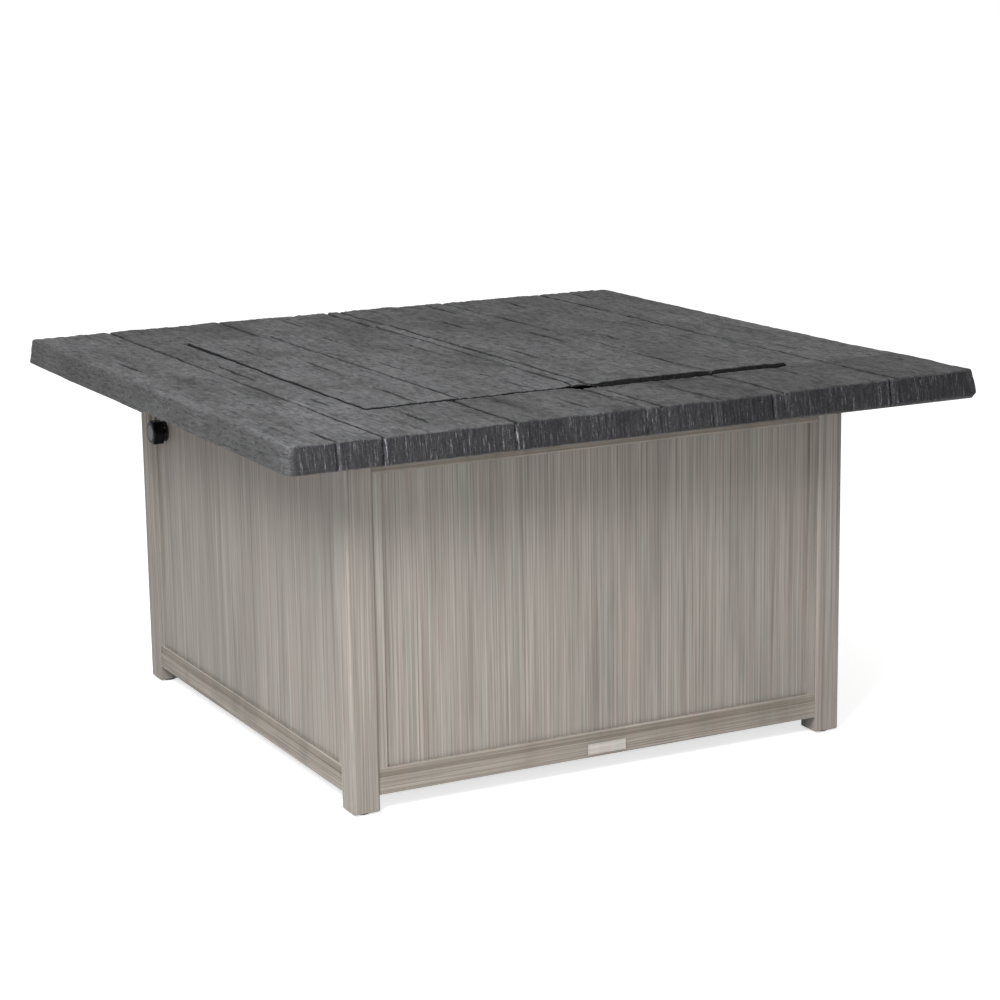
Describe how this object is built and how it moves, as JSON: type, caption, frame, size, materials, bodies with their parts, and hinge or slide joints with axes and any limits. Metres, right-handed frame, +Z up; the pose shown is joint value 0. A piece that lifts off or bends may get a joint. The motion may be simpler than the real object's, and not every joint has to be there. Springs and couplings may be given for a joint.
{
  "type": "gas fire pit table",
  "caption": "Square gas fire pit table with a plank-pattern cast top, lift-off burner cover, panelled base, control knob, rock grate and burner inside, rear access door.",
  "frame": {"origin": "on the ground under the centre of the table", "axes": "+Z up, -Y towards the front with the nameplate, -X towards the side with the control knob, +Y towards the access door"},
  "size_m": [1.22, 1.22, 0.632],
  "materials": {
    "cast_top": "matte charcoal powder coat over a cast plank pattern",
    "cover_pad": "black rubber",
    "frame_paint": "brushed weathered grey paint",
    "panel_paint": "brushed weathered grey paint, vertical streaks",
    "fixings": "zinc plated",
    "stainless": "brushed stainless steel",
    "sheet_steel": "galvanised sheet",
    "brass": "machined",
    "gas_tubing": "drawn tube",
    "lava_rock": "porous reddish black",
    "ceramic": "white insulator",
    "lead_insulation": "silicone sleeve",
    "knob_black": "gloss black",
    "knob_face": "satin grey disc",
    "black_plastic": "moulded black",
    "plate_metal": "blank embossed plate, same paint as the base"
  },
  "bodies": {
    "base": {"table_top": "cast_top", "post_front_left": "frame_paint", "post_front_right": "frame_paint", "post_back_right": "frame_paint", "post_back_left": "frame_paint", "bottom_rail_front": "frame_paint", "bottom_rail_right": "frame_paint", "bottom_rail_back": "frame_paint", "bottom_rail_left": "frame_paint", "top_rail_front": "frame_paint", "top_rail_right": "frame_paint", "top_rail_back": "frame_paint", "top_rail_left": "frame_paint", "panel_lip_front": "frame_paint", "panel_lip_right": "frame_paint", "panel_lip_left": "frame_paint", "panel_front": "panel_paint", "panel_right": "panel_paint", "panel_left": "panel_paint", "top_gussets": "fixings", "top_bolts": "fixings", "shield_studs": "fixings", "shield_nuts": "fixings", "door_pins": "fixings", "burner_pan": "stainless", "burner_tubes": "stainless", "burner_saddles": "stainless", "burner_grate": "stainless", "grate_legs": "stainless", "electrode_bracket": "stainless", "valve_spring": "stainless", "heat_shield": "sheet_steel", "tank_tray": "sheet_steel", "tank_collar": "sheet_steel", "burner_locknut": "brass", "burner_elbow": "brass", "valve_body": "brass", "gas_inlet": "brass", "tube_nuts": "brass", "gas_tube": "gas_tubing", "lava_rock": "lava_rock", "spark_electrode": "ceramic", "ignition_lead": "lead_insulation", "knob_bezel": "knob_black", "door_magnet": "black_plastic", "nameplate": "plate_metal"},
    "cover": {"burner_cover": "cast_top", "cover_pads": "cover_pad"},
    "plunger": {"valve_plunger": "stainless"},
    "knob": {"control_knob": "knob_black", "knob_cap": "knob_face", "valve_stem": "brass"},
    "door": {"door_frame": "frame_paint", "door_panel": "panel_paint", "door_pull": "black_plastic", "catch_plate": "fixings"},
    "foot_front_left": {"foot_front_left": "black_plastic"},
    "foot_front_right": {"foot_front_right": "black_plastic"},
    "foot_back_left": {"foot_back_left": "black_plastic"},
    "foot_back_right": {"foot_back_right": "black_plastic"}
  },
  "joints": [
    {"name": "cover_lift", "type": "slide", "parent": "base", "child": "cover", "axis": [0, 0, 1], "range_m": [0, 0.2]},
    {"name": "knob_push", "type": "slide", "parent": "base", "child": "plunger", "axis": [1, 0, 0], "range_m": [0, 0.004], "stiffness_N_per_m": 1000, "springref_m": -0.004, "deforming": ["valve_spring"]},
    {"name": "knob_turn", "type": "hinge", "parent": "plunger", "child": "knob", "pos_m": [-0.42, 0.353, 0.481], "axis": [-1, 0, 0], "range_deg": [0, 180]},
    {"name": "door_swing", "type": "hinge", "parent": "base", "child": "door", "pos_m": [0.397, 0.445, 0.3], "axis": [0, 0, -1], "range_deg": [0, 110]},
    {"name": "foot_front_left_turn", "type": "hinge", "parent": "base", "child": "foot_front_left", "pos_m": [-0.431, -0.431, 0.004], "axis": [0, 0, 1], "continuous": true},
    {"name": "foot_front_right_turn", "type": "hinge", "parent": "base", "child": "foot_front_right", "pos_m": [0.431, -0.431, 0.004], "axis": [0, 0, 1], "continuous": true},
    {"name": "foot_back_left_turn", "type": "hinge", "parent": "base", "child": "foot_back_left", "pos_m": [-0.431, 0.431, 0.004], "axis": [0, 0, 1], "continuous": true},
    {"name": "foot_back_right_turn", "type": "hinge", "parent": "base", "child": "foot_back_right", "pos_m": [0.431, 0.431, 0.004], "axis": [0, 0, 1], "continuous": true}
  ]
}
